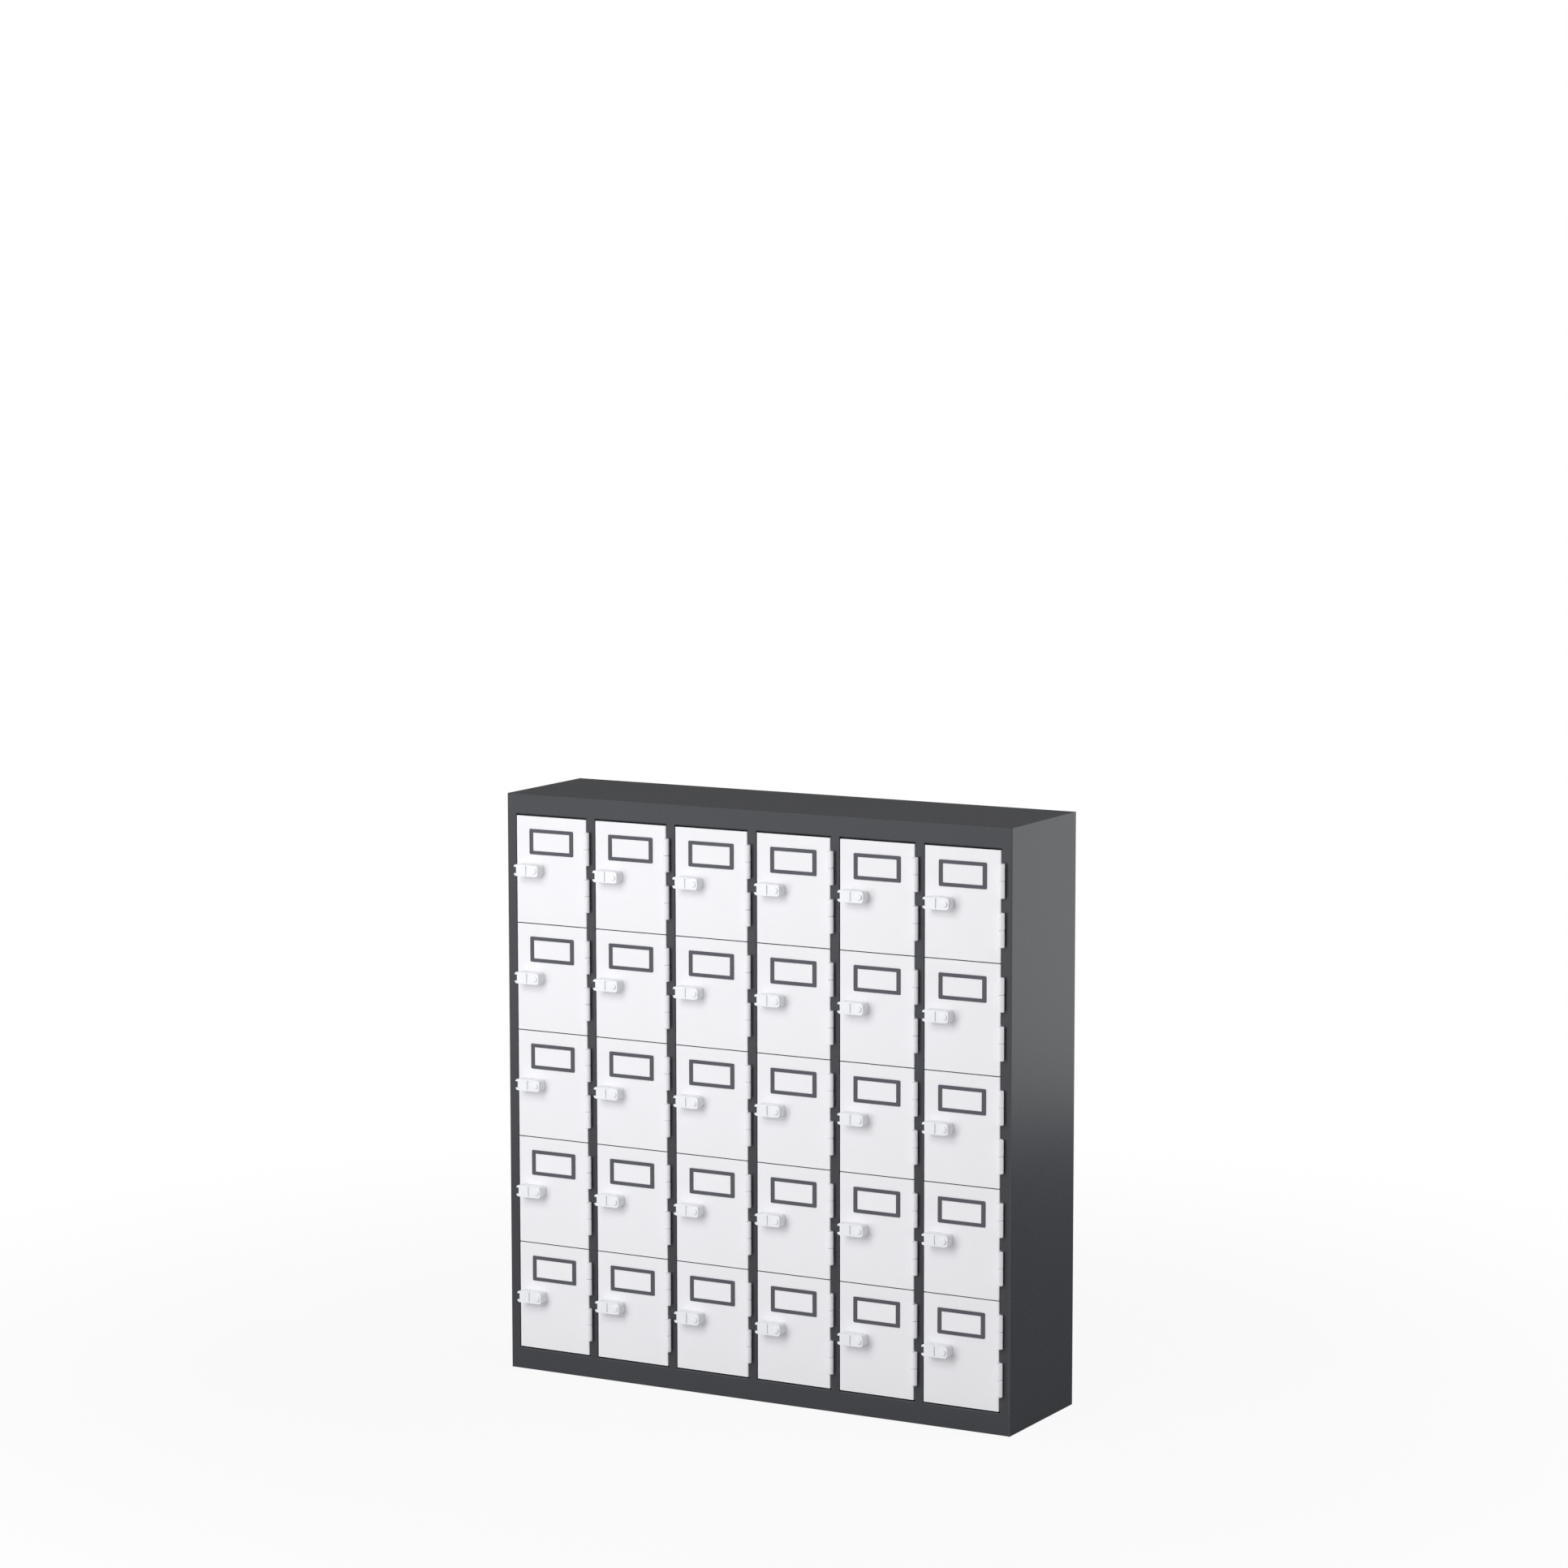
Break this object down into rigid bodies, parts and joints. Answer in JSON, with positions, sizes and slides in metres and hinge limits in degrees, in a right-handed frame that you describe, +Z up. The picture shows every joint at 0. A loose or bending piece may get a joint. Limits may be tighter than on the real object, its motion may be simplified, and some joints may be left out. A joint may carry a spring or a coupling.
{
  "type": "cell phone locker box",
  "caption": "Wall or counter cabinet of small hinged lockers for phones, each door with a card holder and a turning latch.",
  "frame": {"origin": "centre of the carcass's footprint, on the face that it stands on", "axes": "+Z up, +X to the right as seen from the front, +Y from the doors to the back panel"},
  "size_m": [0.9, 0.2464, 0.94],
  "materials": {
    "graphite_paint": "satin",
    "white_paint": "satin",
    "card_holder_plastic": "satin",
    "card_paper": "matte",
    "zinc_plate": "satin"
  },
  "bodies": {
    "carcass": {"top_panel": "graphite_paint", "base_panel": "graphite_paint", "left_side_panel": "graphite_paint", "right_side_panel": "graphite_paint", "back_panel": "graphite_paint", "divider_1": "graphite_paint", "divider_2": "graphite_paint", "divider_3": "graphite_paint", "divider_4": "graphite_paint", "divider_5": "graphite_paint", "shelves": "graphite_paint", "frame_hinges": "white_paint"},
    "door_r1_c1": {"door_r1_c1": "white_paint"},
    "door_r1_c2": {"door_r1_c2": "white_paint"},
    "door_r1_c3": {"door_r1_c3": "white_paint"},
    "door_r1_c4": {"door_r1_c4": "white_paint"},
    "door_r1_c5": {"door_r1_c5": "white_paint"},
    "door_r1_c6": {"door_r1_c6": "white_paint"},
    "door_r2_c1": {"door_r2_c1": "white_paint"},
    "door_r2_c2": {"door_r2_c2": "white_paint"},
    "door_r2_c3": {"door_r2_c3": "white_paint"},
    "door_r2_c4": {"door_r2_c4": "white_paint"},
    "door_r2_c5": {"door_r2_c5": "white_paint"},
    "door_r2_c6": {"door_r2_c6": "white_paint"},
    "door_r3_c1": {"door_r3_c1": "white_paint"},
    "door_r3_c2": {"door_r3_c2": "white_paint"},
    "door_r3_c3": {"door_r3_c3": "white_paint"},
    "door_r3_c4": {"door_r3_c4": "white_paint"},
    "door_r3_c5": {"door_r3_c5": "white_paint"},
    "door_r3_c6": {"door_r3_c6": "white_paint"},
    "door_r4_c1": {"door_r4_c1": "white_paint"},
    "door_r4_c2": {"door_r4_c2": "white_paint"},
    "door_r4_c3": {"door_r4_c3": "white_paint"},
    "door_r4_c4": {"door_r4_c4": "white_paint"},
    "door_r4_c5": {"door_r4_c5": "white_paint"},
    "door_r4_c6": {"door_r4_c6": "white_paint"},
    "door_r5_c1": {"door_r5_c1": "white_paint"},
    "door_r5_c2": {"door_r5_c2": "white_paint"},
    "door_r5_c3": {"door_r5_c3": "white_paint"},
    "door_r5_c4": {"door_r5_c4": "white_paint"},
    "door_r5_c5": {"door_r5_c5": "white_paint"},
    "door_r5_c6": {"door_r5_c6": "white_paint"},
    "latch_r1_c1": {"latch_r1_c1": "white_paint"},
    "latch_r1_c2": {"latch_r1_c2": "white_paint"},
    "latch_r1_c3": {"latch_r1_c3": "white_paint"},
    "latch_r1_c4": {"latch_r1_c4": "white_paint"},
    "latch_r1_c5": {"latch_r1_c5": "white_paint"},
    "latch_r1_c6": {"latch_r1_c6": "white_paint"},
    "latch_r2_c1": {"latch_r2_c1": "white_paint"},
    "latch_r2_c2": {"latch_r2_c2": "white_paint"},
    "latch_r2_c3": {"latch_r2_c3": "white_paint"},
    "latch_r2_c4": {"latch_r2_c4": "white_paint"},
    "latch_r2_c5": {"latch_r2_c5": "white_paint"},
    "latch_r2_c6": {"latch_r2_c6": "white_paint"},
    "latch_r3_c1": {"latch_r3_c1": "white_paint"},
    "latch_r3_c2": {"latch_r3_c2": "white_paint"},
    "latch_r3_c3": {"latch_r3_c3": "white_paint"},
    "latch_r3_c4": {"latch_r3_c4": "white_paint"},
    "latch_r3_c5": {"latch_r3_c5": "white_paint"},
    "latch_r3_c6": {"latch_r3_c6": "white_paint"}
  },
  "joints": [
    {"name": "door_r1_c1_swing", "type": "hinge", "parent": "carcass", "child": "door_r1_c1", "pos_m": [-0.29893, -0.1178, 0.81918], "axis": [0, 0, 1], "range_deg": [0, 145]},
    {"name": "door_r1_c2_swing", "type": "hinge", "parent": "carcass", "child": "door_r1_c2", "pos_m": [-0.15207, -0.1178, 0.81918], "axis": [0, 0, 1], "range_deg": [0, 145]},
    {"name": "door_r1_c3_swing", "type": "hinge", "parent": "carcass", "child": "door_r1_c3", "pos_m": [-0.0052, -0.1178, 0.81918], "axis": [0, 0, 1], "range_deg": [0, 145]},
    {"name": "door_r1_c4_swing", "type": "hinge", "parent": "carcass", "child": "door_r1_c4", "pos_m": [0.14167, -0.1178, 0.81918], "axis": [0, 0, 1], "range_deg": [0, 145]},
    {"name": "door_r1_c5_swing", "type": "hinge", "parent": "carcass", "child": "door_r1_c5", "pos_m": [0.28853, -0.1178, 0.81918], "axis": [0, 0, 1], "range_deg": [0, 145]},
    {"name": "door_r1_c6_swing", "type": "hinge", "parent": "carcass", "child": "door_r1_c6", "pos_m": [0.4354, -0.1178, 0.81918], "axis": [0, 0, 1], "range_deg": [0, 145]},
    {"name": "door_r2_c1_swing", "type": "hinge", "parent": "carcass", "child": "door_r2_c1", "pos_m": [-0.29893, -0.1178, 0.64524], "axis": [0, 0, 1], "range_deg": [0, 145]},
    {"name": "door_r2_c2_swing", "type": "hinge", "parent": "carcass", "child": "door_r2_c2", "pos_m": [-0.15207, -0.1178, 0.64524], "axis": [0, 0, 1], "range_deg": [0, 145]},
    {"name": "door_r2_c3_swing", "type": "hinge", "parent": "carcass", "child": "door_r2_c3", "pos_m": [-0.0052, -0.1178, 0.64524], "axis": [0, 0, 1], "range_deg": [0, 145]},
    {"name": "door_r2_c4_swing", "type": "hinge", "parent": "carcass", "child": "door_r2_c4", "pos_m": [0.14167, -0.1178, 0.64524], "axis": [0, 0, 1], "range_deg": [0, 145]},
    {"name": "door_r2_c5_swing", "type": "hinge", "parent": "carcass", "child": "door_r2_c5", "pos_m": [0.28853, -0.1178, 0.64524], "axis": [0, 0, 1], "range_deg": [0, 145]},
    {"name": "door_r2_c6_swing", "type": "hinge", "parent": "carcass", "child": "door_r2_c6", "pos_m": [0.4354, -0.1178, 0.64524], "axis": [0, 0, 1], "range_deg": [0, 145]},
    {"name": "door_r3_c1_swing", "type": "hinge", "parent": "carcass", "child": "door_r3_c1", "pos_m": [-0.29893, -0.1178, 0.4713], "axis": [0, 0, 1], "range_deg": [0, 145]},
    {"name": "door_r3_c2_swing", "type": "hinge", "parent": "carcass", "child": "door_r3_c2", "pos_m": [-0.15207, -0.1178, 0.4713], "axis": [0, 0, 1], "range_deg": [0, 145]},
    {"name": "door_r3_c3_swing", "type": "hinge", "parent": "carcass", "child": "door_r3_c3", "pos_m": [-0.0052, -0.1178, 0.4713], "axis": [0, 0, 1], "range_deg": [0, 145]},
    {"name": "door_r3_c4_swing", "type": "hinge", "parent": "carcass", "child": "door_r3_c4", "pos_m": [0.14167, -0.1178, 0.4713], "axis": [0, 0, 1], "range_deg": [0, 145]},
    {"name": "door_r3_c5_swing", "type": "hinge", "parent": "carcass", "child": "door_r3_c5", "pos_m": [0.28853, -0.1178, 0.4713], "axis": [0, 0, 1], "range_deg": [0, 145]},
    {"name": "door_r3_c6_swing", "type": "hinge", "parent": "carcass", "child": "door_r3_c6", "pos_m": [0.4354, -0.1178, 0.4713], "axis": [0, 0, 1], "range_deg": [0, 145]},
    {"name": "door_r4_c1_swing", "type": "hinge", "parent": "carcass", "child": "door_r4_c1", "pos_m": [-0.29893, -0.1178, 0.29736], "axis": [0, 0, 1], "range_deg": [0, 145]},
    {"name": "door_r4_c2_swing", "type": "hinge", "parent": "carcass", "child": "door_r4_c2", "pos_m": [-0.15207, -0.1178, 0.29736], "axis": [0, 0, 1], "range_deg": [0, 145]},
    {"name": "door_r4_c3_swing", "type": "hinge", "parent": "carcass", "child": "door_r4_c3", "pos_m": [-0.0052, -0.1178, 0.29736], "axis": [0, 0, 1], "range_deg": [0, 145]},
    {"name": "door_r4_c4_swing", "type": "hinge", "parent": "carcass", "child": "door_r4_c4", "pos_m": [0.14167, -0.1178, 0.29736], "axis": [0, 0, 1], "range_deg": [0, 145]},
    {"name": "door_r4_c5_swing", "type": "hinge", "parent": "carcass", "child": "door_r4_c5", "pos_m": [0.28853, -0.1178, 0.29736], "axis": [0, 0, 1], "range_deg": [0, 145]},
    {"name": "door_r4_c6_swing", "type": "hinge", "parent": "carcass", "child": "door_r4_c6", "pos_m": [0.4354, -0.1178, 0.29736], "axis": [0, 0, 1], "range_deg": [0, 145]},
    {"name": "door_r5_c1_swing", "type": "hinge", "parent": "carcass", "child": "door_r5_c1", "pos_m": [-0.29893, -0.1178, 0.12342], "axis": [0, 0, 1], "range_deg": [0, 145]},
    {"name": "door_r5_c2_swing", "type": "hinge", "parent": "carcass", "child": "door_r5_c2", "pos_m": [-0.15207, -0.1178, 0.12342], "axis": [0, 0, 1], "range_deg": [0, 145]},
    {"name": "door_r5_c3_swing", "type": "hinge", "parent": "carcass", "child": "door_r5_c3", "pos_m": [-0.0052, -0.1178, 0.12342], "axis": [0, 0, 1], "range_deg": [0, 145]},
    {"name": "door_r5_c4_swing", "type": "hinge", "parent": "carcass", "child": "door_r5_c4", "pos_m": [0.14167, -0.1178, 0.12342], "axis": [0, 0, 1], "range_deg": [0, 145]},
    {"name": "door_r5_c5_swing", "type": "hinge", "parent": "carcass", "child": "door_r5_c5", "pos_m": [0.28853, -0.1178, 0.12342], "axis": [0, 0, 1], "range_deg": [0, 145]},
    {"name": "door_r5_c6_swing", "type": "hinge", "parent": "carcass", "child": "door_r5_c6", "pos_m": [0.4354, -0.1178, 0.12342], "axis": [0, 0, 1], "range_deg": [0, 145]},
    {"name": "latch_r1_c1_turn", "type": "hinge", "parent": "door_r1_c1", "child": "latch_r1_c1", "pos_m": [-0.3886, -0.1125, 0.8196], "axis": [0, -1, 0], "range_deg": [0, 90]},
    {"name": "latch_r1_c2_turn", "type": "hinge", "parent": "door_r1_c2", "child": "latch_r1_c2", "pos_m": [-0.24173, -0.1125, 0.8196], "axis": [0, -1, 0], "range_deg": [0, 90]},
    {"name": "latch_r1_c3_turn", "type": "hinge", "parent": "door_r1_c3", "child": "latch_r1_c3", "pos_m": [-0.09487, -0.1125, 0.8196], "axis": [0, -1, 0], "range_deg": [0, 90]},
    {"name": "latch_r1_c4_turn", "type": "hinge", "parent": "door_r1_c4", "child": "latch_r1_c4", "pos_m": [0.052, -0.1125, 0.8196], "axis": [0, -1, 0], "range_deg": [0, 90]},
    {"name": "latch_r1_c5_turn", "type": "hinge", "parent": "door_r1_c5", "child": "latch_r1_c5", "pos_m": [0.19887, -0.1125, 0.8196], "axis": [0, -1, 0], "range_deg": [0, 90]},
    {"name": "latch_r1_c6_turn", "type": "hinge", "parent": "door_r1_c6", "child": "latch_r1_c6", "pos_m": [0.34573, -0.1125, 0.8196], "axis": [0, -1, 0], "range_deg": [0, 90]},
    {"name": "latch_r2_c1_turn", "type": "hinge", "parent": "door_r2_c1", "child": "latch_r2_c1", "pos_m": [-0.3886, -0.1125, 0.64566], "axis": [0, -1, 0], "range_deg": [0, 90]},
    {"name": "latch_r2_c2_turn", "type": "hinge", "parent": "door_r2_c2", "child": "latch_r2_c2", "pos_m": [-0.24173, -0.1125, 0.64566], "axis": [0, -1, 0], "range_deg": [0, 90]},
    {"name": "latch_r2_c3_turn", "type": "hinge", "parent": "door_r2_c3", "child": "latch_r2_c3", "pos_m": [-0.09487, -0.1125, 0.64566], "axis": [0, -1, 0], "range_deg": [0, 90]},
    {"name": "latch_r2_c4_turn", "type": "hinge", "parent": "door_r2_c4", "child": "latch_r2_c4", "pos_m": [0.052, -0.1125, 0.64566], "axis": [0, -1, 0], "range_deg": [0, 90]},
    {"name": "latch_r2_c5_turn", "type": "hinge", "parent": "door_r2_c5", "child": "latch_r2_c5", "pos_m": [0.19887, -0.1125, 0.64566], "axis": [0, -1, 0], "range_deg": [0, 90]},
    {"name": "latch_r2_c6_turn", "type": "hinge", "parent": "door_r2_c6", "child": "latch_r2_c6", "pos_m": [0.34573, -0.1125, 0.64566], "axis": [0, -1, 0], "range_deg": [0, 90]},
    {"name": "latch_r3_c1_turn", "type": "hinge", "parent": "door_r3_c1", "child": "latch_r3_c1", "pos_m": [-0.3886, -0.1125, 0.47172], "axis": [0, -1, 0], "range_deg": [0, 90]},
    {"name": "latch_r3_c2_turn", "type": "hinge", "parent": "door_r3_c2", "child": "latch_r3_c2", "pos_m": [-0.24173, -0.1125, 0.47172], "axis": [0, -1, 0], "range_deg": [0, 90]},
    {"name": "latch_r3_c3_turn", "type": "hinge", "parent": "door_r3_c3", "child": "latch_r3_c3", "pos_m": [-0.09487, -0.1125, 0.47172], "axis": [0, -1, 0], "range_deg": [0, 90]},
    {"name": "latch_r3_c4_turn", "type": "hinge", "parent": "door_r3_c4", "child": "latch_r3_c4", "pos_m": [0.052, -0.1125, 0.47172], "axis": [0, -1, 0], "range_deg": [0, 90]},
    {"name": "latch_r3_c5_turn", "type": "hinge", "parent": "door_r3_c5", "child": "latch_r3_c5", "pos_m": [0.19887, -0.1125, 0.47172], "axis": [0, -1, 0], "range_deg": [0, 90]},
    {"name": "latch_r3_c6_turn", "type": "hinge", "parent": "door_r3_c6", "child": "latch_r3_c6", "pos_m": [0.34573, -0.1125, 0.47172], "axis": [0, -1, 0], "range_deg": [0, 90]}
  ]
}
